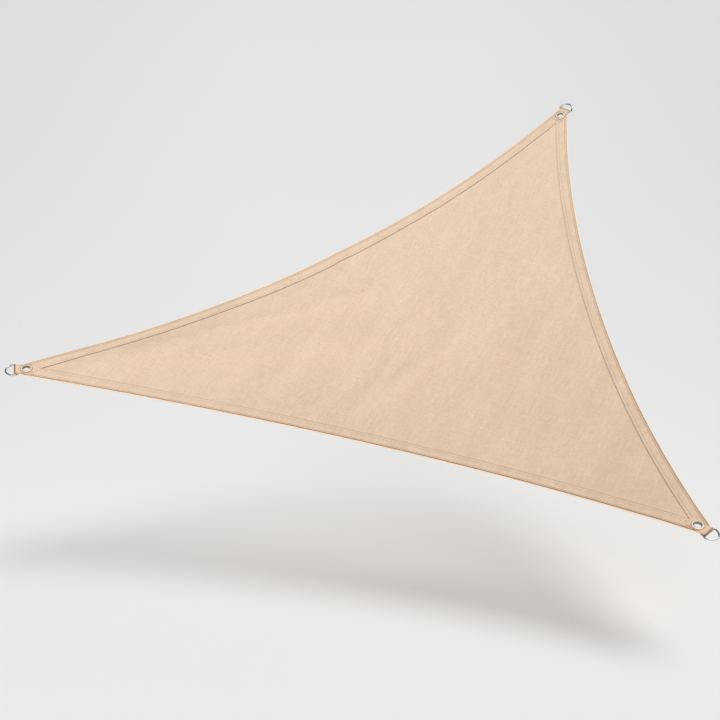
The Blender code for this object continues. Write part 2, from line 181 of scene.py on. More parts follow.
@dataclass
class Sail:
    """The hung form of the sail, as functions of flat points on the plane of its apexes."""

    mid_sag: float = 0.050
    lift_power: int = 12
    patch_flat: float = 0.120
    patch_end: float = 0.220
    fold_to_eyelet: float = 0.036
    bar_from_fold: float = 0.0043
    ring_depth: float = 0.028
    wire_radius: float = 0.0025
    line_samples: int = 1500
    patches: list["Patch"] = field(default_factory=list)

    def __post_init__(self) -> None:
        """Sets up the plane, the corners' patches and the origin."""
        left, right, high = (np.array(corner.apex) for corner in CORNERS)
        self.x = unit(right - left)
        self.normal = unit(np.cross(right - left, high - left))
        self.y = np.cross(self.normal, self.x)
        self.flat = np.array([[apex @ self.x, apex @ self.y] for apex in (left, right, high)])
        self.to_weights = np.linalg.inv(np.vstack([self.flat.T, np.ones(3)]))
        self.patches = [Patch(self, index) for index in range(len(CORNERS))]
        bears_at = self.fold_to_eyelet - self.bar_from_fold + self.ring_depth - self.wire_radius
        self.origin = self.patches[At.HIGH.value].point(bears_at, 0, 0)

    def weights(self, flat: np.ndarray) -> np.ndarray:
        """The corner weights of flat points, one row each."""
        return np.column_stack([flat, np.ones(len(flat))]) @ self.to_weights.T

    def edge_point(self, edge: Edge, s: np.ndarray) -> tuple[np.ndarray, np.ndarray]:
        """Places on an edge's cut line, and its tangents there.

        Args:
            edge: The edge.
            s: Shares of the way from its start corner to its end corner.

        Returns:
            The flat points, and the derivative by s at each.
        """
        start, end = self.flat[edge.start.value], self.flat[edge.end.value]
        s = s[:, None]
        inward = unit(np.array([start[1] - end[1], end[0] - start[0]]))
        hollow = s * (1 - s) ** 2 * edge.cut[0] + s**2 * (1 - s) * edge.cut[1]
        slope = (1 - 4 * s + 3 * s**2) * edge.cut[0] + (2 * s - 3 * s**2) * edge.cut[1]
        return (
            start + (end - start) * s + CUBIC_PEAK * hollow * inward,
            (end - start) + CUBIC_PEAK * slope * inward,
        )

    def inset_line(self, edge: Edge, inset: float) -> np.ndarray:
        """Flat points along a line inset from an edge, from corner to corner.

        Args:
            edge: The edge.
            inset: How far inside it, in metres.

        Returns:
            The flat points.
        """
        line, along = self.edge_point(edge, np.linspace(0, 1, self.line_samples))
        across = units(np.column_stack([-along[:, 1], along[:, 0]]))
        return line + inset * across

    def depth(self, edge: Edge, flat: np.ndarray) -> tuple[np.ndarray, np.ndarray]:
        """How deep inside an edge flat points lie, and where along it.

        Args:
            edge: The edge.
            flat: The flat points.

        Returns:
            The depths in metres, and the shares of the way along the edge.
        """
        start, end = self.flat[edge.start.value], self.flat[edge.end.value]
        chord = end - start
        s = (flat - start) @ chord / (chord @ chord)
        for _ in range(3):
            line, along = self.edge_point(edge, s)
            s = s + ((flat - line) * along).sum(axis=1) / (along**2).sum(axis=1)
        line, along = self.edge_point(edge, s)
        across = units(np.column_stack([-along[:, 1], along[:, 0]]))
        return ((flat - line) * across).sum(axis=1), s

    def fold_height(self, flat: np.ndarray, folds: tuple[Fold, ...]) -> np.ndarray:
        """The height that soft ridges and troughs add at flat points.

        Args:
            flat: The flat points.
            folds: The ridges and troughs.

        Returns:
            The heights in metres.
        """
        height = np.zeros(len(flat))
        for fold in folds:
            start, end = np.array(fold.start) @ self.flat, np.array(fold.end) @ self.flat
            length = np.linalg.norm(end - start)
            along = (flat - start) @ (end - start) / length**2
            across = (flat - start) @ np.array([start[1] - end[1], end[0] - start[0]]) / length
            fade = smooth_step(along, *FADE_IN) * (1 - smooth_step(along, *FADE_OUT))
            height += fold.height * fade * np.exp(-((across / fold.half_width) ** 2))
        return height

    def smooth(self, flat: np.ndarray) -> np.ndarray:
        """Places in space of flat points, before the corners are stiffened.

        Args:
            flat: The flat points.

        Returns:
            The places, one row each.
        """
        weights = self.weights(flat)
        height = self.fold_height(flat, MAIN_FOLDS) - TRIPLE_PEAK * weights.prod(axis=1) * self.mid_sag
        for edge in EDGES:
            a, b = weights[:, edge.start.value], weights[:, edge.end.value]
            height -= CUBIC_PEAK * (a * a * b * edge.sag[0] + a * b * b * edge.sag[1])
        places = flat @ np.array([self.x, self.y]) + height[:, None] * self.normal
        for corner, weight in zip(CORNERS, weights.T):
            lift = np.clip(weight, 0, 1)[:, None] ** self.lift_power
            places = places + lift * np.array(corner.lift)
        return places

    def sheet(self, flat: np.ndarray) -> np.ndarray:
        """Places in the row frame of flat points on the middle of the cloth.

        Args:
            flat: The flat points.

        Returns:
            The places, one row each.
        """
        places = self.smooth(flat)
        for patch in self.patches:
            places = patch.flatten(flat, places)
        return places - self.origin

    def normals(self, flat: np.ndarray) -> np.ndarray:
        """The cloth's upward normals at flat points.

        Args:
            flat: The flat points.

        Returns:
            The unit normals, one row each.
        """
        step = 0.5 * MM
        along = [self.sheet(flat + way) - self.sheet(flat - way) for way in step * np.eye(2)]
        return units(np.cross(*along))

    def fit_flat(self, patch: "Patch", places: np.ndarray) -> np.ndarray:
        """Flat points of places on a corner's patch, found by stepping towards them.

        Args:
            patch: The corner's patch.
            places: Places on it, as x and y in its own frame.

        Returns:
            The flat points.
        """
        flat = np.tile(patch.eyelet, (len(places), 1))
        step = 0.5 * MM
        for _ in range(6):
            now = patch.own(self.sheet(flat))
            columns = [(patch.own(self.sheet(flat + way)) - now) / step for way in step * np.eye(2)]
            slope = np.stack(columns, axis=2)
            flat = flat + np.linalg.solve(slope, (places - now)[:, :, None])[:, :, 0]
        return flat


class Patch:
    """The flat, stiff end of one corner, with x out to the ring and z up off the sail."""

    def __init__(self, sail: Sail, index: int) -> None:
        """Finds the eyelet's centre and the patch's axes.

        Args:
            sail: The sail, with its plane set up.
            index: The corner's place in the tables.
        """
        self.sail = sail
        self.corner = CORNERS[index]
        self.apex = sail.flat[index]
        others = [sail.flat[i] for i in range(len(CORNERS)) if i != index]
        self.inward = unit(sum(unit(other - self.apex) for other in others))
        steps = np.linspace(0, TRACK, TRACK_STEPS)
        track = sail.smooth(self.apex + steps[:, None] * self.inward)
        lengths = np.append(0, np.cumsum(np.linalg.norm(np.diff(track, axis=0), axis=1)))
        reach = np.interp(self.corner.to_fold + sail.fold_to_eyelet, lengths, steps)
        self.eyelet = self.apex + reach * self.inward
        sideways = np.array([-self.inward[1], self.inward[0]])
        around = sail.smooth(self.eyelet + MM * np.array([[0, 0], self.inward, sideways]))
        self.centre = around[0]
        self.z = unit(np.cross(around[1] - around[0], around[2] - around[0]))
        middle = unit(around[0] - around[1])
        turn = math.radians(self.corner.turn)
        self.x = math.cos(turn) * middle + math.sin(turn) * np.cross(self.z, middle)
        self.y = np.cross(self.z, self.x)

    def flatten(self, flat: np.ndarray, places: np.ndarray) -> np.ndarray:
        """Places with those near the corner dropped on to the patch's plane.

        Args:
            flat: The flat points.
            places: Their places in space.

        Returns:
            The places, one row each.
        """
        away = np.linalg.norm(flat - self.apex, axis=1)
        share = 1 - smooth_step(away, self.sail.patch_flat, self.sail.patch_end)
        off = (places - self.centre) @ self.z
        return places - (share * off)[:, None] * self.z

    def point(self, x: float, y: float, z: float) -> np.ndarray:
        """A place in space, before the origin is moved, from the patch's coordinates."""
        return self.centre + x * self.x + y * self.y + z * self.z

    def own(self, places: np.ndarray) -> np.ndarray:
        """The x and y in the patch's frame of places in the row frame."""
        return (places + self.sail.origin - self.centre) @ np.column_stack([self.x, self.y])

    def place(self, points: np.ndarray) -> np.ndarray:
        """Places in the row frame from points in the patch's own frame."""
        return points @ np.array([self.x, self.y, self.z]) + self.centre - self.sail.origin


class Wire:
    """A node's socket that takes part in Python expressions."""

    def __init__(self, graph: "Graph", socket: bpy.types.NodeSocket) -> None:
        """Wraps one output socket of a graph."""
        self.graph, self.socket = graph, socket

    def __add__(self, other: "Wire | float") -> "Wire":
        """The sum."""
        return self.graph.maths("ADD", self, other)

    __radd__ = __add__

    def __sub__(self, other: "Wire | float") -> "Wire":
        """The difference."""
        return self.graph.maths("SUBTRACT", self, other)

    def __rsub__(self, other: float) -> "Wire":
        """The difference from a number."""
        return self.graph.maths("SUBTRACT", other, self)

    def __mul__(self, other: "Wire | float") -> "Wire":
        """The product."""
        return self.graph.maths("MULTIPLY", self, other)

    __rmul__ = __mul__

    def __truediv__(self, other: "Wire | float") -> "Wire":
        """The quotient."""
        return self.graph.maths("DIVIDE", self, other)

    def __rtruediv__(self, other: float) -> "Wire":
        """A number over this."""
        return self.graph.maths("DIVIDE", other, self)

    def __neg__(self) -> "Wire":
        """The value with its sign turned."""
        return self * -1.0

    def sine(self) -> "Wire":
        """The sine."""
        return self.graph.maths("SINE", self)

    def size(self) -> "Wire":
        """The value without its sign."""
        return self.graph.maths("ABSOLUTE", self)


class Graph:
    """A node tree written as Python expressions."""

    def __init__(self, tree: bpy.types.NodeTree) -> None:
        """Wraps a tree."""
        self.tree = tree

    def node(self, kind: str, settings: dict, values: dict, output: str = "") -> Wire:
        """Adds any node.

        Args:
            kind: The node's type.
            settings: Its properties; "stops" holds a ramp's (place, value) stops.
            values: Numbers, colours or wires by the identifier of an input socket.
            output: The identifier of the output that is used, or the first.

        Returns:
            The output, if the node has one.
        """
        made = self.tree.nodes.new(kind)
        for name, setting in settings.items():
            if name != "stops":
                setattr(made, name, setting)
                continue
            while len(made.color_ramp.elements) < len(setting):
                made.color_ramp.elements.new(1.0)
            for element, (at, value) in zip(made.color_ramp.elements, setting):
                element.position, element.color = at, (value, value, value, 1)
        for identifier, value in values.items():
            self.join(next(s for s in made.inputs if s.identifier == identifier), value)
        found = [s for s in made.outputs if s.identifier == output] or list(made.outputs)
        return Wire(self, found[0] if found else None)

    def join(self, socket: bpy.types.NodeSocket, value: object) -> None:
        """Links a wire to an input socket, or sets its value.

        Args:
            socket: The input socket.
            value: The wire, number, colour or name.
        """
        if isinstance(value, Wire):
            self.tree.links.new(value.socket, socket)
        else:
            socket.default_value = value

    def maths(self, operation: str, *values: "Wire | float") -> Wire:
        """A Math node on one to three values."""
        names = ("Value", "Value_001", "Value_002")
        return self.node("ShaderNodeMath", {"operation": operation}, dict(zip(names, values)))

    def part(self, vector: Wire, axis: str) -> Wire:
        """One axis of a vector."""
        return self.node("ShaderNodeSeparateXYZ", {}, {"Vector": vector}, axis)

    def vector(self, **parts: "Wire | float") -> Wire:
        """A vector from some of its parts, the others 0."""
        return self.node("ShaderNodeCombineXYZ", {}, parts)

    def noise(self, place: Wire, scale: float, detail: float = 2.0, rough: float = 0.5) -> Wire:
        """A noise from 0 to 1 about 0.5, at a vector."""
        values = {"Vector": place, "Scale": scale, "Detail": detail, "Roughness": rough}
        return self.node("ShaderNodeTexNoise", {}, values)

    def stretched(self, place: Wire, scale: Triple, turn: float = 0.0) -> Wire:
        """A vector scaled by axis and turned about Z, degrees."""
        values = {"Vector": place, "Scale": scale, "Rotation": (0, 0, math.radians(turn))}
        return self.node("ShaderNodeMapping", {}, values)

    def ramp(self, value: Wire, *stops: Pair) -> Wire:
        """A value read off a ramp of (place, value) stops."""
        colour = self.node("ShaderNodeValToRGB", {"stops": stops}, {"Fac": value})
        return self.node("ShaderNodeSeparateColor", {}, {"Color": colour}, "Red")

    def band(self, value: Wire, rise: float, full: float, still: float, fall: float) -> Wire:
        """1 from full to still, 0 before rise and after fall, and even slopes between."""
        stops = ((0.0, 0.0), (rise, 0.0), (full, 1.0), (still, 1.0), (fall, 0.0), (1.0, 0.0))
        return self.ramp(value, *stops)

    def mixed(self, factor: "Wire | float", first: object, second: object) -> Wire:
        """A colour between two others."""
        values = {"Factor_Float": factor, "A_Color": first, "B_Color": second}
        return self.node("ShaderNodeMix", {"data_type": "RGBA"}, values, "Result_Color")


class Paint(Graph):
    """A material with one Principled shader."""

    def __init__(self, name: str) -> None:
        """Starts the material.

        Args:
            name: The material's name.
        """
        self.material = bpy.data.materials.new(name)
        self.material.use_nodes = True
        super().__init__(self.material.node_tree)
        self.shader = self.tree.nodes["Principled BSDF"]

    def stored(self, name: str) -> Wire:
        """A number stored on the mesh."""
        return self.node("ShaderNodeAttribute", {"attribute_name": name}, {}, "Fac")

    def place(self) -> Wire:
        """The place in the piece's own coordinates."""
        return self.node("ShaderNodeTexCoord", {}, {}, "Object")

    def flat(self) -> Wire:
        """The place on the piece laid flat, in metres."""
        return self.node("ShaderNodeUVMap", {"uv_map": "flat"}, {})

    def bump(self, height: Wire, distance: float, strength: float = 1.0) -> Wire:
        """A normal from a height, in units of a distance in metres."""
        values = {"Height": height, "Distance": distance, "Strength": strength}
        return self.node("ShaderNodeBump", {}, values)

    def finish(self, **values: object) -> bpy.types.Material:
        """Sets the shader's inputs and gives the material.

        Args:
            **values: Wires or values by the name of an input, with _ for a space.

        Returns:
            The material.
        """
        for name, value in values.items():
            self.join(self.shader.inputs[name.replace("_", " ")], value)
        return self.material


def linear(value: float) -> float:
    """A linear value from a display value out of 255."""
    share = value / 255
    return share / 12.92 if share <= 0.04045 else ((share + 0.055) / 1.055) ** 2.4


def rgb(red: float, green: float, blue: float) -> Colour:
    """A linear colour from display values out of 255."""
    return (linear(red), linear(green), linear(blue), 1.0)


@dataclass(frozen=True)
class ClothFinish:
    """Sand-coloured woven cloth, with its weave on the flat UV map in metres, and painted light and shade
    along its rim and hem.
    """
    # Puts a finished piece on the sail's body, hides the imported node it replaces, and reports it.

    light: Colour = rgb(242, 217, 191)
    dark: Colour = rgb(212, 185, 158)
    # edge is a painted highlight on the rolled rim; line is the colour of the painted shade lines
    edge: Colour = rgb(255, 224, 194)
    line: Colour = rgb(112, 78, 54)
    thread: float = 2.4 * MM  # between threads
    grain_turn: float = 7.0
    reach: float = 60 * MM  # of the ramps inside the edge

    def make(self) -> bpy.types.Material:
        """Makes the finish's nodes.

        Returns:
            The material.
        """
        paint = Paint("sand_woven_cloth")
        flat = paint.flat()
        turned = paint.stretched(flat, (1, 1, 1), self.grain_turn)
        weave = (paint.part(turned, "X") * (2 * math.pi / self.thread)).sine()
        weave = weave * (paint.part(turned, "Y") * (2 * math.pi / self.thread)).sine()
        streaks = paint.noise(paint.stretched(turned, (110, 24, 1)), 1.0, 4.0, 0.62) - 0.5
        picks = paint.noise(paint.stretched(turned, (26, 140, 1)), 1.0, 3.0, 0.6) - 0.5
        speckle = paint.noise(flat, 190.0, 2.0, 0.75) - 0.5
        bands = paint.noise(paint.stretched(turned, (16, 2.2, 1)), 1.0, 3.0, 0.5) - 0.5
        cloud = paint.noise(flat, 4.5, 4.0, 0.55) - 0.5
        near = paint.stored("edge_depth") / self.reach
        # painted highlight: the rolled rim lighter, as if it caught the light
        edge = paint.ramp(near, (0.0, 1.0), (0.045, 1.0), (0.058, 0.0), (1.0, 0.0))
        # painted shade: a dark line just inside the rolled rim, and a fainter one in the outer stitch
        # row's groove
        rim = paint.band(near, 0.050, 0.062, 0.108, 0.135)
        sewn = paint.band(near, 0.158, 0.172, 0.195, 0.210)
        # painted shadow: a dark line under the hem's inner ledge, its strength set edge by edge by how the
        # light falls
        ledge = paint.band(near, 0.645, 0.660, 0.695, 0.715)
        # painted light: the cloth lighter towards the high corner and darker towards the right, as the
        # light falls
        painted_light_slope = paint.part(flat, "Y") * 0.17 - paint.part(flat, "X") * 0.16 + 0.04
        tone = painted_light_slope + 0.5 + streaks * 0.80 + picks * 0.60 + speckle * 1.10
        tone = tone + bands * 0.50 + cloud * 0.30 + weave * 0.10
        base = paint.mixed(tone, self.dark, self.light)
        base = paint.mixed(edge * 0.85, base, self.edge)
        # worn here only breaks up the painted shade lines below with the streaks
        worn = 0.85 + streaks * 1.2
        base = paint.mixed(rim * paint.stored("outer_line") * worn, base, self.line)
        base = paint.mixed(sewn * paint.stored("outer_line") * 0.30, base, self.line)
        base = paint.mixed(ledge * paint.stored("inner_line") * worn, base, self.line)
        return paint.finish(
            Base_Color=base,
            Roughness=0.86 + cloud * 0.12,
            Normal=paint.bump(weave * 0.5 + streaks + picks + speckle, 0.30 * MM, 0.7),
            Sheen_Weight=0.10,
            Sheen_Roughness=0.5,
            Specular_IOR_Level=0.25,
        )


@dataclass(frozen=True)
class WebbingFinish:
    """Sand-coloured webbing: fine ribs along it, dark selvedge lines, painted shade at its fold and a
    painted shadow round the eyelet.
    """

    light: Colour = rgb(243, 214, 186)
    dark: Colour = rgb(208, 178, 150)
    line: Colour = rgb(112, 78, 54)
    rib: float = 2.1 * MM
    pick: float = 1.3 * MM
    half_width: float = 19 * MM
    selvedge_reach: float = 60 * MM  # of each ramp, away from the fold or the hole
    fold_shade_reach: float = 20 * MM
    hole_reach: float = 40 * MM

    def make(self) -> bpy.types.Material:
        """Makes the finish's nodes.

        Returns:
            The material.
        """
        paint = Paint("sand_webbing")
        flat = paint.flat()
        run, across = paint.part(flat, "X"), paint.part(flat, "Y")
        ribs = (across * (math.pi / self.rib)).sine().size()
        sway = (across * (2 * math.pi / self.rib)).sine() * 1.4
        picks = (run * (2 * math.pi / self.pick) + sway).sine()
        fuzz = paint.noise(flat, 260.0, 3.0, 0.6) - 0.5
        away = paint.stored("from_fold")
        selvedge = paint.band(across.size() / self.half_width, 0.80, 0.86, 0.91, 0.95)
        selvedge = selvedge * paint.ramp(
            away / self.selvedge_reach, (0.0, 1.0), (0.45, 1.0), (0.70, 0.0), (1.0, 0.0)
        )
        # painted shade: darker at the strap's fold round the ring's bar
        fold = paint.ramp(away / self.fold_shade_reach, (0.0, 1.0), (0.26, 0.9), (0.42, 0.0), (1.0, 0.0))
        from_hole = paint.stored("from_hole") / self.hole_reach
        # painted shadow: a dark ring on the strap round the eyelet's flange
        eyelet_shadow = paint.ramp(from_hole, (0.0, 0.0), (0.435, 0.8), (0.49, 0.0), (1.0, 0.0))
        base = paint.mixed(0.35 + ribs * 0.35 + picks * 0.08 + fuzz * 0.5, self.dark, self.light)
        base = paint.mixed(selvedge * 0.40, base, self.line)
        base = paint.mixed(fold * 0.78, base, self.line)
        base = paint.mixed(eyelet_shadow * 0.55, base, self.line)
        return paint.finish(
            Base_Color=base,
            Roughness=0.80 + fuzz * 0.2,
            Normal=paint.bump(ribs + picks * 0.3 + fuzz * 0.6, 0.30 * MM, 0.6),
            Sheen_Weight=0.12,
            Specular_IOR_Level=0.3,
        )


@dataclass(frozen=True)
class ThreadFinish:
    """Twisted sewing thread, browner than the cloth."""

    light: Colour = rgb(168, 128, 96)
    dark: Colour = rgb(116, 82, 58)

    def make(self) -> bpy.types.Material:
        """Makes the finish's nodes.

        Returns:
            The material.
        """
        paint = Paint("sewing_thread")
        place = paint.place()
        ply = paint.noise(place, 900.0, 2.0, 0.6)
        worn = paint.noise(place, 18.0, 2.0, 0.5)
        return paint.finish(
            Base_Color=paint.mixed(ply * 0.7 + worn * 0.3, self.dark, self.light),
            Roughness=0.60 + (ply - 0.5) * 0.2,
            Normal=paint.bump(ply, 0.15 * MM, 0.5),
            Sheen_Weight=0.2,
        )


@dataclass(frozen=True)
class WireFinish:
    """Bright plated wire with fine, patchy wear."""

    bright: Colour = rgb(190, 192, 194)
    dull: Colour = rgb(96, 98, 98)

    def make(self) -> bpy.types.Material:
        """Makes the finish's nodes.

        Returns:
            The material.
        """
        paint = Paint("plated_wire")
        place = paint.place()
        patchy = paint.noise(place, 140.0, 4.0, 0.6)
        worn = paint.ramp(patchy, (0.0, 0.0), (0.50, 0.0), (0.72, 1.0), (1.0, 1.0))
        scratch = paint.noise(paint.stretched(place, (1, 1, 9)), 300.0, 3.0, 0.7) - 0.5
        return paint.finish(
            Base_Color=paint.mixed(worn * 0.6, self.bright, self.dull),
            Metallic=1.0,
            Roughness=0.14 + worn * 0.16 + scratch * 0.10,
            Normal=paint.bump(scratch, 0.05 * MM, 0.35),
        )


@dataclass(frozen=True)
class EyeletFinish:
    """Pressed metal lacquered to match the cloth, bare inside its hole, with painted shade round its lip.
    """

    lacquer: Colour = rgb(240, 212, 184)
    chipped: Colour = rgb(206, 178, 150)
    bare: Colour = rgb(136, 138, 132)
    line: Colour = rgb(112, 78, 54)
    reach: float = 20 * MM  # of the ramps out from the axis

    def make(self) -> bpy.types.Material:
        """Makes the finish's nodes.

        Returns:
            The material.
        """
        paint = Paint("lacquered_eyelet")
        place = paint.place()
        wear = paint.noise(place, 160.0, 4.0, 0.65)
        brushed = paint.noise(paint.stretched(place, (1, 1, 7)), 420.0, 3.0, 0.7) - 0.5
        out = paint.stored("from_axis") / self.reach
        bore = paint.ramp(out, (0.0, 1.0), (0.575, 1.0), (0.625, 0.0), (1.0, 0.0))
        # painted shade: a dark line round the flange's outer lip
        lip = paint.ramp(out, (0.0, 0.0), (0.78, 0.0), (0.83, 1.0), (1.0, 1.0))
        chips = paint.ramp(wear, (0.0, 0.0), (0.45, 0.0), (0.75, 1.0), (1.0, 1.0))
        base = paint.mixed(chips * 0.6, self.lacquer, self.chipped)
        base = paint.mixed(lip * 0.70, base, self.line)
        base = paint.mixed(bore, base, self.bare)
        return paint.finish(
            Base_Color=base,
            Metallic=bore * 0.70 + 0.05,
            Roughness=0.42 + (wear - 0.5) * 0.2 + brushed * 0.12 - bore * 0.1,
            Coat_Weight=0.25 - bore * 0.25,
            Normal=paint.bump(brushed, 0.06 * MM, 0.4),
        )


@dataclass(frozen=True)
class FloorFinish:
    """A plain pale studio floor that glows a little, which keeps shadows on it faint."""

    near: Colour = rgb(241, 241, 241)
    far: Colour = rgb(226, 227, 226)
    dim: Colour = rgb(203, 205, 204)
    glow: Pair = (0.85, 0.20)  # as a share of its light, far away and near
    eye: Triple = (-0.77, -4.38, 1.667)  # what its tone is even about, and how high that is
    nearest: float = 2.0

    def make(self) -> bpy.types.Material:
        """Makes the finish's nodes.

        Returns:
            The material.
        """
        paint = Paint("studio_floor")
        place = paint.place()
        away = 1.0 / paint.maths("MAXIMUM", paint.part(place, "Y") - self.eye[1], self.nearest)
        drop = away * self.eye[2]
        side = ((paint.part(place, "X") - self.eye[0]) * away).size()
        cloud = paint.noise(paint.vector(X=side, Y=drop), 6.0, 3.0, 0.5) - 0.5
        # painted shade: the floor's tone darker far off
        stops = ((0.0, 0.0), (0.05, 0.12), (0.18, 0.30), (0.45, 0.75), (0.72, 1.0))
        tone = paint.ramp(drop + cloud * 0.05, *stops)
        base = paint.mixed(tone, self.far, self.near)
        # painted shade: darker towards the sides far off
        dim = paint.ramp(side, (0.0, 0.0), (0.10, 0.0), (0.34, 1.0), (1.0, 1.0))
        dim = dim * paint.ramp(drop, (0.0, 0.36), (0.30, 0.20), (0.55, 0.0), (1.0, 0.0))
        base = paint.mixed(dim, base, self.dim)
        afar, close = self.glow
        glow = paint.ramp(drop, (0.0, afar), (0.44, afar), (0.55, close), (1.0, close))
        return paint.finish(
            Base_Color=paint.mixed(glow, base, (0, 0, 0, 1)),
            Roughness=0.9,
            Specular_IOR_Level=0.05,
            Emission_Color=paint.mixed(glow, (0, 0, 0, 1), base),
            Emission_Strength=1.0,
        )


class Materials:
    """The finishes, made once."""

    def __init__(self) -> None:
        """Makes every material."""
        self.cloth = ClothFinish().make()
        self.webbing = WebbingFinish().make()
        self.thread = ThreadFinish().make()
        self.wire = WireFinish().make()
        self.eyelet = EyeletFinish().make()
        self.floor = FloorFinish().make()


def new_piece(name: str, places: np.ndarray, faces: list, finish: bpy.types.Material) -> bpy.types.Object:
    """A smooth-shaded mesh object at the origin.

    Args:
        name: The object's name.
        places: Its vertices in the row frame.
        faces: Its faces, as vertex numbers.
        finish: Its material.

    Returns:
        The object, linked to the scene.
    """
    mesh = bpy.data.meshes.new(name)
    mesh.from_pydata(places.tolist(), [], [list(map(int, face)) for face in faces])
    mesh.shade_smooth()
    mesh.materials.append(finish)
    made = bpy.data.objects.new(name, mesh)
    bpy.context.scene.collection.objects.link(made)
    return made


def give_values(piece: bpy.types.Object, name: str, values: np.ndarray) -> None:
    """Stores one number a vertex as a named attribute."""
    layer = piece.data.attributes.new(name, "FLOAT", "POINT")
    layer.data.foreach_set("value", values.astype(np.float32))


def give_flat_map(piece: bpy.types.Object, flat: np.ndarray) -> None:
    """Stores a flat place for each vertex as the UV map "flat", in metres.

    Args:
        piece: The mesh object.
        flat: The flat places, one row a vertex.
    """
    corners = np.empty(len(piece.data.loops), np.int32)
    piece.data.loops.foreach_get("vertex_index", corners)
    layer = piece.data.uv_layers.new(name="flat")
    layer.data.foreach_set("uv", flat[corners].astype(np.float32).ravel())


def settle(piece: bpy.types.Object) -> None:
    """Turns a piece's live modifiers into plain mesh.

    Args:
        piece: The mesh object.
    """
    bpy.context.view_layer.update()
    graph = bpy.context.evaluated_depsgraph_get()
    mesh = bpy.data.meshes.new_from_object(
        piece.evaluated_get(graph), preserve_all_data_layers=True, depsgraph=graph
    )
    piece.modifiers.clear()
    piece.data = mesh


@dataclass
class Cloth:
    """The hemmed sail: a closed sheet with a rounded rim and a stepped, stitched hem."""

    sail: Sail
    finish: bpy.types.Material
    panel: float = 1.2 * MM
    hem: float = 2.2 * MM
    hem_width: float = 40 * MM
    ledge: float = 1.2 * MM
    end_reach: float = 22.5 * MM
    row_step: float = 7 * MM
    panel_step: float = 11 * MM
    hole_radius: float = 11.7 * MM
    hole_steps: int = 40
    outer_row: float = 11 * MM
    inner_row: float = 31 * MM
    groove: float = 0.14 * MM
    groove_width: float = 1.3 * MM
    roll: float = 0.35 * MM  # how proud the folded edge stands
    roll_at: float = 2.6 * MM
    roll_width: float = 1.6 * MM
    pucker: float = 0.45 * MM  # of the cloth along the inner row
    pucker_width: float = 26 * MM
    rim_rows: Triple = (4 * MM, 6 * MM, 8 * MM)  # insets of more rows of points
    hem_rows: tuple[float, ...] = (16 * MM, 21 * MM, 26 * MM, 36 * MM)
    panel_rows: Pair = (5 * MM, 12 * MM)  # and of those past the hem

    def row_insets(self) -> list[float]:
        """The insets of the rows of points along the hem, from the rim in.

        Returns:
            The insets in metres, in order.
        """
        rim = self.hem / 2
        rows = [0.0, 0.3 * rim, rim, self.roll_at, *self.rim_rows]
        for row in (self.outer_row, self.inner_row):
            rows += [row - self.groove_width, row, row + self.groove_width]
        rows += [*self.hem_rows, self.hem_width, self.hem_width + self.ledge]
        rows += [self.hem_width + row for row in self.panel_rows]
        return sorted(rows)

    def ring(self, inset: float) -> np.ndarray:
        """Flat points all round the sail at an inset, with mitred corners.

        Args:
            inset: How far inside the cut edges, in metres.

        Returns:
            The flat points of a closed line.
        """
        runs = []
        for edge in EDGES:
            line = self.sail.inset_line(edge, inset)
            room = np.full(len(line), np.inf)
            for other in EDGES:
                if other is not edge:
                    room = np.minimum(room, self.sail.depth(other, line)[0] - inset)
            places = self.sail.sheet(line)
            for index in (edge.start.value, edge.end.value):
                reach = self.sail.patches[index].own(places)[:, 0]
                room = np.minimum(room, self.end_reach - inset - reach)
            inside = np.flatnonzero(room >= 0)
            first, last = inside[0], inside[-1]
            ends = []
            for outer, inner in ((first - 1, first), (last + 1, last)):
                share = room[inner] / (room[inner] - room[outer])
                ends.append(line[inner] + share * (line[outer] - line[inner]))
            run = spaced(np.vstack([ends[0], line[first : last + 1], ends[1]]), self.row_step)
            if runs and np.linalg.norm(runs[-1][-1] - run[0]) < MM:
                run = run[1:]
            runs.append(run)
        if np.linalg.norm(runs[-1][-1] - runs[0][0]) < MM:
            runs[-1] = runs[-1][:-1]
        return np.vstack(runs)

    def depths(self, flat: np.ndarray) -> tuple[np.ndarray, np.ndarray, np.ndarray]:
        """How flat points lie to their nearest edge.

        Args:
            flat: The flat points.

        Returns:
            Their depths, the number of the nearest edge, and the share along it.
        """
        both = [self.sail.depth(edge, flat) for edge in EDGES]
        depths = np.array([depth for depth, _ in both])
        nearest = depths.argmin(axis=0)
        pick = np.arange(len(flat))
        return depths[nearest, pick], nearest, np.array([s for _, s in both])[nearest, pick]

    def flat_points(self) -> tuple[np.ndarray, list[tuple[int, int]]]:
        """The flat points to mesh, and the lines that the mesh keeps.

        Returns:
            The flat points, and pairs of their numbers.
        """
        points, lines, count = [], [], 0
        kept = (0.0, self.hem / 2, self.hem_width, self.hem_width + self.ledge)
        for inset in self.row_insets():
            ring = self.ring(inset)
            if inset in kept:
                lines += [(count + i, count + (i + 1) % len(ring)) for i in range(len(ring))]
            else:
                ring = ring[self.off_holes(ring)]
            points.append(ring)
            count += len(ring)
        angles = np.linspace(0, 2 * math.pi, self.hole_steps, endpoint=False)
        circle = self.hole_radius * np.column_stack([np.cos(angles), np.sin(angles)])
        for patch in self.sail.patches:
            points.append(self.sail.fit_flat(patch, circle))
            lines += [(count + i, count + (i + 1) % len(circle)) for i in range(len(circle))]
            count += len(circle)
        low, high = self.sail.flat.min(axis=0), self.sail.flat.max(axis=0)
        rows = np.arange(low[1], high[1], self.panel_step * math.sqrt(3) / 2)
        columns = np.arange(low[0], high[0], self.panel_step)
        shift = self.panel_step / 2
        grid = np.array([(x + shift * (i % 2), y) for i, y in enumerate(rows) for x in columns])
        clear = self.hem_width + self.panel_rows[-1] + 0.6 * self.panel_step
        inner = self.depths(grid)[0] > clear
        points.append(grid[inner & (self.sail.weights(grid).min(axis=1) > 0)])
        return np.vstack(points), lines

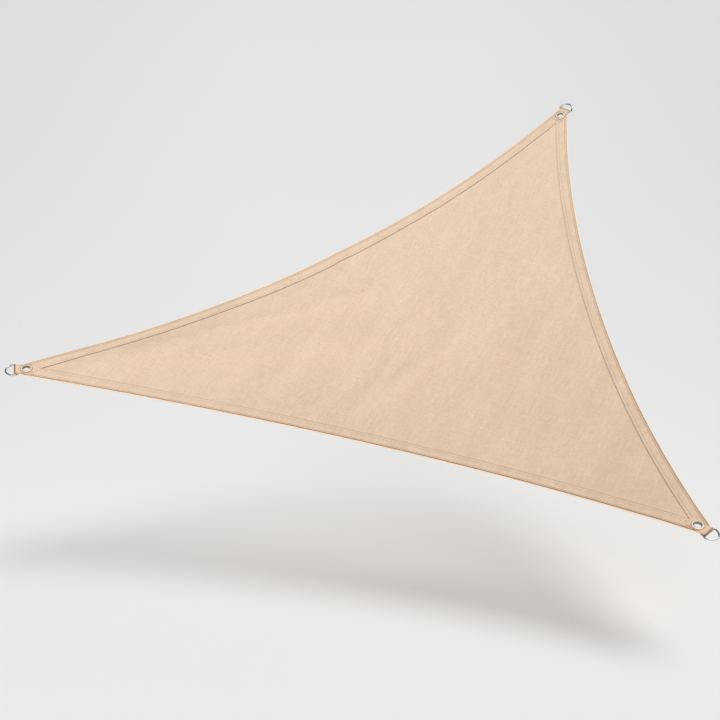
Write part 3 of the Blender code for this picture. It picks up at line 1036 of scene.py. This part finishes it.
    def off_holes(self, flat: np.ndarray) -> np.ndarray:
        """Which flat points are clear of the eyelets' holes.

        Args:
            flat: The flat points.

        Returns:
            True for each that is clear.
        """
        places, clear = self.sail.sheet(flat), np.ones(len(flat), bool)
        for patch in self.sail.patches:
            clear &= np.linalg.norm(patch.own(places), axis=1) > self.hole_radius + MM
        return clear

    def half_thickness(self, depth: np.ndarray) -> np.ndarray:
        """Half the cloth's thickness at depths inside its edge.

        Args:
            depth: The depths in metres.

        Returns:
            The half thicknesses in metres.
        """
        rim = self.hem / 2
        half = rim + (self.panel - self.hem) / 2 * smooth_step(
            depth, self.hem_width, self.hem_width + self.ledge
        )
        half = half + self.roll * np.exp(-(((depth - self.roll_at) / self.roll_width) ** 2))
        for row in (self.outer_row, self.inner_row):
            half = half - self.groove * np.exp(-(((depth - row) / self.groove_width) ** 2))
        return half * np.sqrt(1 - np.clip(1 - depth / rim, 0, 1) ** 2)

    def middle(self, flat: np.ndarray) -> tuple[np.ndarray, np.ndarray]:
        """The middle of the cloth at flat points, with its fine folds, and its normals.

        Args:
            flat: The flat points.

        Returns:
            The places and the unit normals, one row each.
        """
        depth, nearest, share = self.depths(flat)
        run = share * 2.1 + nearest * 3.7
        wave = sum(np.sin(run * pace + phase) * size for pace, phase, size in PUCKERS)
        near_rows = np.exp(-(((depth - self.inner_row) / self.pucker_width) ** 2))
        near_rows = near_rows * smooth_step(depth, 0, 8 * MM)
        extra = self.pucker * wave * near_rows + self.sail.fold_height(flat, FINE_FOLDS)
        for patch in self.sail.patches:
            away = np.linalg.norm(flat - patch.apex, axis=1)
            extra = extra * smooth_step(away, self.sail.patch_flat, self.sail.patch_end)
        normals = self.sail.normals(flat)
        return self.sail.sheet(flat) + extra[:, None] * normals, normals

    def surface(self, flat: np.ndarray, face: Face, proud: float) -> tuple[np.ndarray, np.ndarray]:
        """Places on a face of the cloth, standing proud of it, and the face's normals.

        Args:
            flat: The flat points.
            face: The face.
            proud: How far off it, in metres.

        Returns:
            The places and the unit normals, one row each.
        """
        places, normals = self.middle(flat)
        normals = normals * face.value
        off = self.half_thickness(self.depths(flat)[0]) + proud
        return places + off[:, None] * normals, normals

    def build(self) -> bpy.types.Object:
        """Meshes the cloth as one closed sheet.

        Returns:
            The piece.
        """
        flat, lines = self.flat_points()
        vectors = [Vector(point) for point in flat]
        points, _, faces, *_ = geometry.delaunay_2d_cdt(vectors, lines, [], 1, 1e-7)
        flat = np.array([tuple(point) for point in points])
        faces = np.array([list(face) for face in faces])
        centres = self.sail.sheet(flat[faces].mean(axis=1))
        keep = np.ones(len(faces), bool)
        for patch in self.sail.patches:
            keep &= np.linalg.norm(patch.own(centres), axis=1) > self.hole_radius * 0.995
        faces = faces[keep]
        ends = np.sort(np.vstack([faces[:, [0, 1]], faces[:, [1, 2]], faces[:, [2, 0]]]), axis=1)
        pairs, uses = np.unique(ends, axis=0, return_counts=True)
        rim = np.zeros(len(flat), bool)
        rim[pairs[uses == 1].ravel()] = True
        used = np.zeros(len(flat), bool)
        used[faces.ravel()] = True
        flat, rim = flat[used], rim[used]
        faces = (np.cumsum(used) - 1)[faces]
        depth, nearest, share = self.depths(flat)
        middle, normals = self.middle(flat)
        half = np.where(rim, 0, self.half_thickness(depth))[:, None] * normals
        twin = np.where(rim, np.arange(len(flat)), len(flat) + np.cumsum(~rim) - 1)
        places = np.vstack([middle + half, (middle - half)[~rim]])
        both = np.vstack([faces, twin[faces][:, ::-1]])
        made = new_piece("hemmed_cloth", places, both, self.finish)
        source = np.append(np.arange(len(flat)), np.flatnonzero(~rim))
        give_flat_map(made, flat[source])
        give_values(made, "edge_depth", depth[source])
        for name in ("inner_line", "outer_line"):
            low, high = np.array([getattr(edge, name) for edge in EDGES])[nearest].T
            give_values(made, name, (low + (high - low) * smooth_step(share, 0.05, 0.95))[source])
        return made

    def cut_area(self) -> float:
        """The flat area of the cut cloth, in square metres."""
        x, y = self.ring(0.0).T
        return float(abs(x @ np.roll(y, -1) - y @ np.roll(x, -1)) / 2)


def swept(
    stations: np.ndarray, outs: np.ndarray, section: np.ndarray, closed: bool, swell: np.ndarray
) -> tuple[np.ndarray, list]:
    """A tube of one section along a line that lies in a plane.

    Args:
        stations: The line's points, as x and z in a patch's frame.
        outs: The unit normal of the line at each, in the same plane.
        section: The section's points, as (across the plane, along the normal).
        closed: Whether the line joins its own end.
        swell: How thick the section is at each point of the line, as a share.

    Returns:
        The vertices as x, across and z, and the faces.
    """
    count, around = len(stations), len(section)
    vertices = np.array([
        (x + nx * h * size, across, z + nz * h * size)
        for (x, z), (nx, nz), size in zip(stations, outs, swell)
        for across, h in section
    ])
    faces = []
    for i in range(count if closed else count - 1):
        for j in range(around):
            a, b = i * around, (i + 1) % count * around
            k = (j + 1) % around
            faces.append((a + j, a + k, b + k, b + j))
    if not closed:
        last = (count - 1) * around
        faces += [tuple(range(around - 1, -1, -1)), tuple(range(last, last + around))]
    return vertices, faces


def outward(piece: bpy.types.Object) -> None:
    """Turns a closed mesh's faces outwards.

    Args:
        piece: The mesh object.
    """
    work = bmesh.new()
    work.from_mesh(piece.data)
    bmesh.ops.recalc_face_normals(work, faces=work.faces)
    work.to_mesh(piece.data)
    work.free()


@dataclass
class CornerFittings:
    """The folded strap, the wire ring and the eyelet of one corner."""

    sail: Sail
    patch: Patch
    materials: Materials
    gap: float = 0.3 * MM
    cloth: float = 2.2 * MM
    strap_width: float = 38 * MM
    strap_thickness: float = 1.5 * MM
    strap_tail: float = 24 * MM
    strap_parts: float = 0.55  # share of the way to the bar at which its tails part
    strap_step: float = 1.2 * MM
    end_share: float = 0.35  # how thick its cut ends are, as a share
    end_swell: Pair = (-1 * MM, 5 * MM)
    ring_half_width: float = 22.5 * MM
    ring_bend: float = 3 * MM
    hole: float = 10.5 * MM
    flange: float = 17.5 * MM
    flange_thickness: float = 1.2 * MM
    barrel_wall: float = 0.9 * MM
    punch_steps: int = 64
    punch_depth: float = 20 * MM
    crown_roll: float = 1.05 * MM  # radius of the lip that is rolled round the hole
    crown_drop: float = 0.75 * MM
    rim_lip: float = 0.42 * MM
    flange_turns: Pair = (13.2 * MM, 15.2 * MM)
    flange_slope: float = 0.1
    flange_crest: float = 2 * MM  # from the hole's wall
    turned_steps: int = 96
    stitch_inset: float = 3 * MM  # from the strap's selvedges and its end
    stitch_out: float = 15.5 * MM
    stitch_step: float = 3.6 * MM
    stitch_length: float = 2.8 * MM
    stitch_radius: float = 0.36 * MM
    stitch_proud: float = 0.05 * MM

    def __post_init__(self) -> None:
        """Works out the sizes that follow from the others."""
        self.bar_at = self.sail.fold_to_eyelet - self.sail.bar_from_fold
        self.stack = self.cloth / 2 + self.gap + self.strap_thickness
        self.name = self.patch.corner.name

    def middle_line(self) -> np.ndarray:
        """The strap's middle line, from one tail's end round the bar to the other's.

        Returns:
            Its points, as x and z in the patch's frame.
        """
        tail = self.cloth / 2 + self.gap + self.strap_thickness / 2
        bend = self.sail.wire_radius + self.gap + self.strap_thickness / 2
        opens = self.strap_parts * self.bar_at
        flat = [(x, tail) for x in np.arange(-self.strap_tail, opens, self.strap_step)]
        rise = np.linspace(opens, self.bar_at, 12)
        upper = flat + [(x, tail + (bend - tail) * smooth_step(x, opens, self.bar_at)) for x in rise]
        turn = np.linspace(math.pi / 2, -math.pi / 2, 25)[1:-1]
        around = [(self.bar_at + bend * math.cos(a), bend * math.sin(a)) for a in turn]
        return np.array(upper + around + [(x, -z) for x, z in reversed(upper)])

    def strap_section(self) -> np.ndarray:
        """The webbing's section: flat faces and rounded selvedges.

        Returns:
            Its points, as (across the webbing, off its middle).
        """
        r = self.strap_thickness / 2
        side = self.strap_width / 2 - r
        row = np.linspace(-side, side, 13)
        bend = np.linspace(math.pi / 2, -math.pi / 2, 6)[1:-1]
        right = [(side + r * math.cos(a), r * math.sin(a)) for a in bend]
        left = [(-side - r * math.cos(a), -r * math.sin(a)) for a in bend]
        return np.array([(y, r) for y in row] + right + [(y, -r) for y in row[::-1]] + left)

    def strap(self) -> bpy.types.Object:
        """Sweeps the folded strap and punches its hole.

        Returns:
            The piece.
        """
        line = self.middle_line()
        along = units(np.gradient(line, axis=0))
        outs = np.column_stack([-along[:, 1], along[:, 0]])
        section = self.strap_section()
        lengths = np.append(0, np.cumsum(np.linalg.norm(np.diff(line, axis=0), axis=1)))
        to_end = np.minimum(lengths, lengths[-1] - lengths)
        swell = self.end_share + (1 - self.end_share) * smooth_step(to_end, *self.end_swell)
        own, faces = swept(line, outs, section, closed=False, swell=swell)
        made = new_piece(f"webbing_{self.name}", self.patch.place(own), faces, self.materials.webbing)
        outward(made)
        run = np.repeat(lengths, len(section))
        give_flat_map(made, np.column_stack([run, own[:, 1]]))
        give_values(made, "from_fold", np.abs(run - lengths[-1] / 2))
        give_values(made, "from_hole", np.linalg.norm(own[:, :2], axis=1))
        self.strap_length = float(lengths[-1])
        self.punch(made)
        return made

    def punch(self, piece: bpy.types.Object) -> None:
        """Cuts the eyelet's hole through a closed piece.

        Args:
            piece: The mesh object.
        """
        work, radius = bmesh.new(), self.hole + self.barrel_wall + self.gap
        bmesh.ops.create_cone(
            work, cap_ends=True, segments=self.punch_steps, radius1=radius, radius2=radius,
            depth=self.punch_depth,
        )
        mesh = bpy.data.meshes.new("hole")
        work.to_mesh(mesh)
        work.free()
        places = np.array([tuple(v.co) for v in mesh.vertices])
        for vertex, place in zip(mesh.vertices, self.patch.place(places)):
            vertex.co = place
        cutter = bpy.data.objects.new("hole", mesh)
        bpy.context.scene.collection.objects.link(cutter)
        hole = piece.modifiers.new("hole", "BOOLEAN")
        hole.operation, hole.solver, hole.object = "DIFFERENCE", "EXACT", cutter
        settle(piece)
        bpy.data.objects.remove(cutter)

    def ring(self) -> bpy.types.Object:
        """Sweeps the D-shaped ring of round wire, its bar in the strap's fold.

        Returns:
            The piece.
        """
        bends = np.linspace(-math.pi / 2, 0, 8)
        r, w = self.ring_bend, self.ring_half_width
        half = [(0.0, y) for y in np.linspace(0, w - r, 6)[:-1]]
        half += [(r + r * math.sin(a), w - r + r * math.cos(a)) for a in bends]
        bow = self.sail.ring_depth - r
        half += [(r + bow * math.sin(a), w * math.cos(a)) for a in np.linspace(0, math.pi / 2, 26)[1:]]
        line = np.array(half + [(x, -y) for x, y in reversed(half[1:-1])])
        along = units(np.roll(line, -1, axis=0) - np.roll(line, 1, axis=0))
        outs = np.column_stack([along[:, 1], -along[:, 0]])
        turn = np.linspace(0, 2 * math.pi, 20, endpoint=False)
        section = self.sail.wire_radius * np.column_stack([np.sin(turn), np.cos(turn)])
        own, faces = swept(line, outs, section, closed=True, swell=np.ones(len(line)))
        own = np.column_stack([own[:, 0] + self.bar_at, own[:, 2], own[:, 1]])
        made = new_piece(f"wire_ring_{self.name}", self.patch.place(own), faces, self.materials.wire)
        outward(made)
        return made

    def flange_profile(self) -> list[Pair]:
        """Half of the eyelet's section, as radius and height, from the hole's wall out.

        Returns:
            The points of the section.
        """
        under = self.stack + self.gap
        top = under + self.flange_thickness
        roll, lip = self.crown_roll, self.rim_lip
        crown = [
            (self.hole + roll - roll * math.cos(a), top - self.crown_drop + roll * math.sin(a))
            for a in np.linspace(0, 0.80 * math.pi, 12)
        ]
        rim = [
            (self.flange - lip + lip * math.cos(a), under + lip + lip * math.sin(a))
            for a in np.linspace(0.62 * math.pi, -math.pi / 2, 9)
        ]
        slope = [
            (r, top - lip - self.flange_slope * (r - self.hole - self.flange_crest))
            for r in self.flange_turns
        ]
        return crown + slope + rim + [(self.hole + self.barrel_wall, under)]

    def eyelet(self) -> bpy.types.Object:
        """Turns the eyelet, flanged on both faces.

        Returns:
            The piece.
        """
        upper = self.flange_profile()
        profile = np.array(upper + [(radius, -height) for radius, height in reversed(upper)])
        turn = np.linspace(0, 2 * math.pi, self.turned_steps, endpoint=False)
        own = np.array([(r * math.cos(a), r * math.sin(a), z) for a in turn for r, z in profile])
        count, steps = len(profile), self.turned_steps
        faces = [
            (i * count + j, i * count + (j + 1) % count,
             (i + 1) % steps * count + (j + 1) % count, (i + 1) % steps * count + j)
            for i in range(steps)
            for j in range(count)
        ]
        made = new_piece(f"turned_eyelet_{self.name}", self.patch.place(own), faces, self.materials.eyelet)
        give_values(made, "from_axis", np.hypot(own[:, 0], own[:, 1]))
        outward(made)
        return made

    def stitch_places(self, face: Face) -> tuple[np.ndarray, np.ndarray, np.ndarray]:
        """Where the strap's two rows of stitches lie on one face.

        Args:
            face: The face of the corner.

        Returns:
            The stitches' places, the ways they run, and the face's normals.
        """
        side, first = self.strap_width / 2 - self.stitch_inset, self.stitch_inset - self.strap_tail
        count = round((self.stitch_out - first) / self.stitch_step)
        along = first + (np.arange(count) + 0.5) / count * (self.stitch_out - first)
        height = face.value * (self.stack + self.stitch_proud)
        own = np.array([(x, y, height) for y in (-side, side) for x in along])
        ways = np.tile(self.patch.x, (len(own), 1))
        return self.patch.place(own), ways, np.tile(self.patch.z * face.value, (len(own), 1))


class StitchMaker(Graph):
    """Sews rows of thread stitches with Geometry Nodes."""

    def __init__(self, thread: bpy.types.Material) -> None:
        """Builds the node group, with named inputs for its sizes.

        Args:
            thread: The thread's material.
        """
        self.thread = thread
        super().__init__(bpy.data.node_groups.new("stitches", "GeometryNodeTree"))
        asks = {name: "Float" for name in ("Stitch Length", "Thread Radius", "Crown", "Wander")}
        self.sockets = {
            name: self.tree.interface.new_socket(
                name, in_out="INPUT", socket_type=f"NodeSocket{kind}"
            ).identifier
            for name, kind in {"Geometry": "Geometry", **asks, "Thread": "Material"}.items()
        }
        self.asked = {
            name: self.node("NodeGroupInput", {}, {}, identifier)
            for name, identifier in self.sockets.items()
        }
        self.build()

    def drawn(self, low: float, high: float | Wire, seed: int) -> Wire:
        """A random number for each stitch, from a fixed seed."""
        values = {"Min_001": low, "Max_001": high, "Seed": seed}
        return self.node("FunctionNodeRandomValue", {"data_type": "FLOAT"}, values, "Value_001")

    def build(self) -> None:
        """Makes one arched stitch and sets it on every point, along its row."""
        half = self.asked["Stitch Length"] * 0.5
        ends = {"Start": self.vector(X=-half), "End": self.vector(X=half)}
        line = self.node("GeometryNodeCurvePrimitiveLine", {}, ends)
        points = self.node("GeometryNodeResampleCurve", {}, {"Curve": line, "Count": 5})
        share = self.part(self.node("GeometryNodeInputPosition", {}, {}), "X") / half
        rise = self.vector(Z=(0.55 - share * share) * self.asked["Crown"])
        bent = self.node("GeometryNodeSetPosition", {}, {"Geometry": points, "Offset": rise})
        values = {"Resolution": 6, "Radius": self.asked["Thread Radius"]}
        circle = self.node("GeometryNodeCurvePrimitiveCircle", {}, values)
        values = {"Curve": bent, "Profile Curve": circle, "Fill Caps": True}
        stitch = self.node("GeometryNodeCurveToMesh", {}, values)
        way, up = (
            self.node("GeometryNodeInputNamedAttribute", {"data_type": "FLOAT_VECTOR"}, {"Name": name})
            for name in ("way", "up")
        )
        turned = self.node("FunctionNodeAlignRotationToVector", {"axis": "X"}, {"Vector": way})
        values = {"Rotation": turned, "Vector": up}
        upright = self.node("FunctionNodeAlignRotationToVector", {"axis": "Z", "pivot_axis": "X"}, values)
        wander = self.drawn(0.0, self.asked["Wander"], seed=11) - self.asked["Wander"] * 0.5
        twist = self.node("FunctionNodeEulerToRotation", {}, {"Euler": self.vector(Z=wander)})
        values = {"Rotation": upright, "Rotate By": twist}
        rotation = self.node("FunctionNodeRotateRotation", {"rotation_space": "LOCAL"}, values)
        values = {
            "Points": self.asked["Geometry"], "Instance": stitch, "Rotation": rotation,
            "Scale": self.drawn(0.86, 1.08, seed=5),
        }
        sewn = self.node("GeometryNodeInstanceOnPoints", {}, values)
        real = self.node("GeometryNodeRealizeInstances", {}, {"Geometry": sewn})
        smooth = self.node("GeometryNodeSetShadeSmooth", {}, {"Geometry": real})
        values = {"Geometry": smooth, "Material": self.asked["Thread"]}
        dressed = self.node("GeometryNodeSetMaterial", {}, values)
        result = self.tree.interface.new_socket(
            "Geometry", in_out="OUTPUT", socket_type="NodeSocketGeometry"
        )
        self.node("NodeGroupOutput", {}, {result.identifier: dressed})

    def sew(self, name: str, rows: list[tuple[np.ndarray, np.ndarray, np.ndarray]],
            length: float, radius: float) -> bpy.types.Object:
        """A piece of stitches.

        Args:
            name: The piece's name.
            rows: For each row, the stitches' places, ways and the face's normals.
            length: Of the thread that shows in one stitch.
            radius: Of the thread.

        Returns:
            The piece, as plain mesh.
        """
        places, ways, ups = (np.vstack(parts) for parts in zip(*rows))
        mesh = bpy.data.meshes.new(name)
        mesh.from_pydata(places.tolist(), [], [])
        for label, vectors in (("way", ways), ("up", ups)):
            layer = mesh.attributes.new(label, "FLOAT_VECTOR", "POINT")
            layer.data.foreach_set("vector", vectors.astype(np.float32).ravel())
        made = bpy.data.objects.new(name, mesh)
        bpy.context.scene.collection.objects.link(made)
        sewing = made.modifiers.new("sewing", "NODES")
        sewing.node_group = self.tree
        inputs = {
            "Stitch Length": length, "Thread Radius": radius, "Crown": 0.9 * radius,
            "Wander": 0.10, "Thread": self.thread,
        }
        for asked, value in inputs.items():
            sewing[self.sockets[asked]] = value
        settle(made)
        return made


@dataclass
class HemStitching:
    """A row of stitches along one edge's hem, on both faces of the cloth."""

    cloth: Cloth
    edge: Edge
    inset: float
    pitch: float = 7.5 * MM
    length: float = 5.4 * MM
    proud: float = 0.1 * MM  # how far off the cloth the thread's middle lies
    strap_end: float = 28 * MM  # inside the eyelet's centre, past the strap's tails
    strap_side: float = 22 * MM

    def rows(self) -> list[tuple[np.ndarray, np.ndarray, np.ndarray]]:
        """The stitches' places, ways and normals on each face.

        Returns:
            For each face, three arrays with one row a stitch.
        """
        sail = self.cloth.sail
        line = sail.inset_line(self.edge, self.inset)
        others = [edge for edge in EDGES if edge is not self.edge]
        room = np.min([sail.depth(other, line)[0] for other in others], axis=0)
        points = spaced(line[(room > self.inset) & self.clear_of_straps(line)], self.pitch)
        found = []
        for face in Face:
            ahead = self.cloth.surface(points[1:], face, self.proud)[0]
            behind = self.cloth.surface(points[:-1], face, self.proud)[0]
            middles = (points[1:] + points[:-1]) / 2
            places, normals = self.cloth.surface(middles, face, self.proud)
            found.append((places, units(ahead - behind), normals))
        return found

    def clear_of_straps(self, flat: np.ndarray) -> np.ndarray:
        """Which flat points lie off the corners' straps.

        Args:
            flat: The flat points.

        Returns:
            True for each that does.
        """
        places, clear = self.cloth.sail.sheet(flat), np.ones(len(flat), bool)
        for patch in self.cloth.sail.patches:
            x, y = patch.own(places).T
            beside = (np.abs(y) > self.strap_side) & (x < self.strap_side)
            clear &= (x < -self.strap_end) | beside
        return clear


@dataclass
class Studio:
    """The floor, the light and the camera."""

    sail: Sail
    floor: bpy.types.Material
    high_apex: Triple = (0.7708, 4.3853, -0.4133)  # from the camera
    camera_height: float = 1.667
    pitch: float = 18.0
    lens: float = 57.8
    sensor: float = 36.0
    floor_half: float = 400.0
    key_way: Triple = (0.33, 0.10, 0.92)
    key_softness: float = 28.0
    key_strength: float = 1.40
    fill_way: Triple = (0.10, -0.87, 0.48)
    fill_softness: float = 60.0
    fill_strength: float = 1.90
    surround: float = 0.25
    behind: float = 0.17  # how bright the surround is behind the camera
    backdrop: float = 0.82  # how bright it looks where it is seen above the floor

    def camera(self) -> None:
        """Sets the camera."""
        data = bpy.data.cameras.new("camera")
        data.lens, data.sensor_width, data.clip_end = self.lens, self.sensor, 2.5 * self.floor_half
        made = bpy.data.objects.new("camera", data)
        made.location = self.stand = -np.array(self.high_apex) - self.sail.origin
        made.rotation_euler = (math.radians(90 - self.pitch), 0, 0)
        bpy.context.scene.collection.objects.link(made)
        bpy.context.scene.camera = made

    def ground(self) -> None:
        """Makes the floor, wide enough to fill the view."""
        level, half = self.stand[2] - self.camera_height, self.floor_half
        corners = ((-half, -half), (half, -half), (half, half), (-half, half))
        places = np.array([(x, y, level) for x, y in corners])
        new_piece("studio_floor", places, [(0, 1, 2, 3)], self.floor)

    def light(self) -> None:
        """Sets a soft key from above, a wide fill from the front and a dim surround."""
        for name, way, strength, softness in (
            ("key", self.key_way, self.key_strength, self.key_softness),
            ("fill", self.fill_way, self.fill_strength, self.fill_softness),
        ):
            data = bpy.data.lights.new(name, "SUN")
            data.energy, data.angle = strength, math.radians(softness)
            made = bpy.data.objects.new(name, data)
            made.rotation_euler = Vector(way).to_track_quat("Z", "Y").to_euler()
            bpy.context.scene.collection.objects.link(made)
        made.light_linking.blocker_collection = bpy.data.collections.new("no_fill_shadow")
        world = bpy.data.worlds.new("surround")
        world.use_nodes = True
        graph = Graph(world.node_tree)
        ahead = graph.part(graph.node("ShaderNodeTexCoord", {}, {}, "Generated"), "Y") * 0.5 + 0.5
        dim, lit = self.behind, self.surround
        level = graph.ramp(ahead, (0.0, dim), (0.25, dim), (0.50, lit), (1.0, lit))
        seen = graph.node("ShaderNodeLightPath", {}, {}, "Is Camera Ray")
        level = level + seen * (self.backdrop - level)
        background = world.node_tree.nodes["Background"].inputs
        graph.join(background["Color"], level)
        graph.join(background["Strength"], 1.0)
        bpy.context.scene.world = world
        bpy.context.scene.view_settings.view_transform = "Standard"


def declare(piece: bpy.types.Object, node: str = "") -> None:
    """Puts a finished piece on the sail's body and in its slot, and reports it.

    Args:
        piece: The piece.
        node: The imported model's node that it replaces, if it does.
    """
    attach(piece, BODY)
    if node:
        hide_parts(node)
    LOG.info("%s: %d faces", piece.name, len(piece.data.polygons))


def main() -> None:
    """Builds the sail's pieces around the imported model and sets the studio."""
    logging.basicConfig(level=logging.INFO, format="%(name)s: %(message)s")
    sail, materials = Sail(), Materials()
    studio = Studio(sail, materials.floor)
    studio.camera()
    studio.ground()
    studio.light()
    cloth = Cloth(sail, materials.cloth)
    sheet = cloth.build()
    declare(sheet, "sail_cloth")
    sewing = StitchMaker(materials.thread)
    stitching = []
    for edge in EDGES:
        way = f"{edge.start.name.lower()}_to_{edge.end.name.lower()}"
        for row, inset, radius in (
            ("outer", cloth.outer_row, edge.outer_thread), ("inner", cloth.inner_row, edge.inner_thread),
        ):
            hem = HemStitching(cloth, edge, inset)
            stitching.append(sewing.sew(f"{row}_stitches_{way}", hem.rows(), hem.length, radius))
            declare(stitching[-1])
    for patch in sail.patches:
        fittings = CornerFittings(sail, patch, materials)
        strap, ring, eyelet = fittings.strap(), fittings.ring(), fittings.eyelet()
        seams = sewing.sew(
            f"strap_stitches_{fittings.name}", [fittings.stitch_places(face) for face in Face],
            fittings.stitch_length, fittings.stitch_radius,
        )
        declare(strap, f"strap_{fittings.name}")
        declare(ring, f"ring_{fittings.name}")
        declare(eyelet, f"eyelet_{fittings.name}")
        declare(seams)
    cloth.cut_area()


if __name__ == "__main__":
    main()
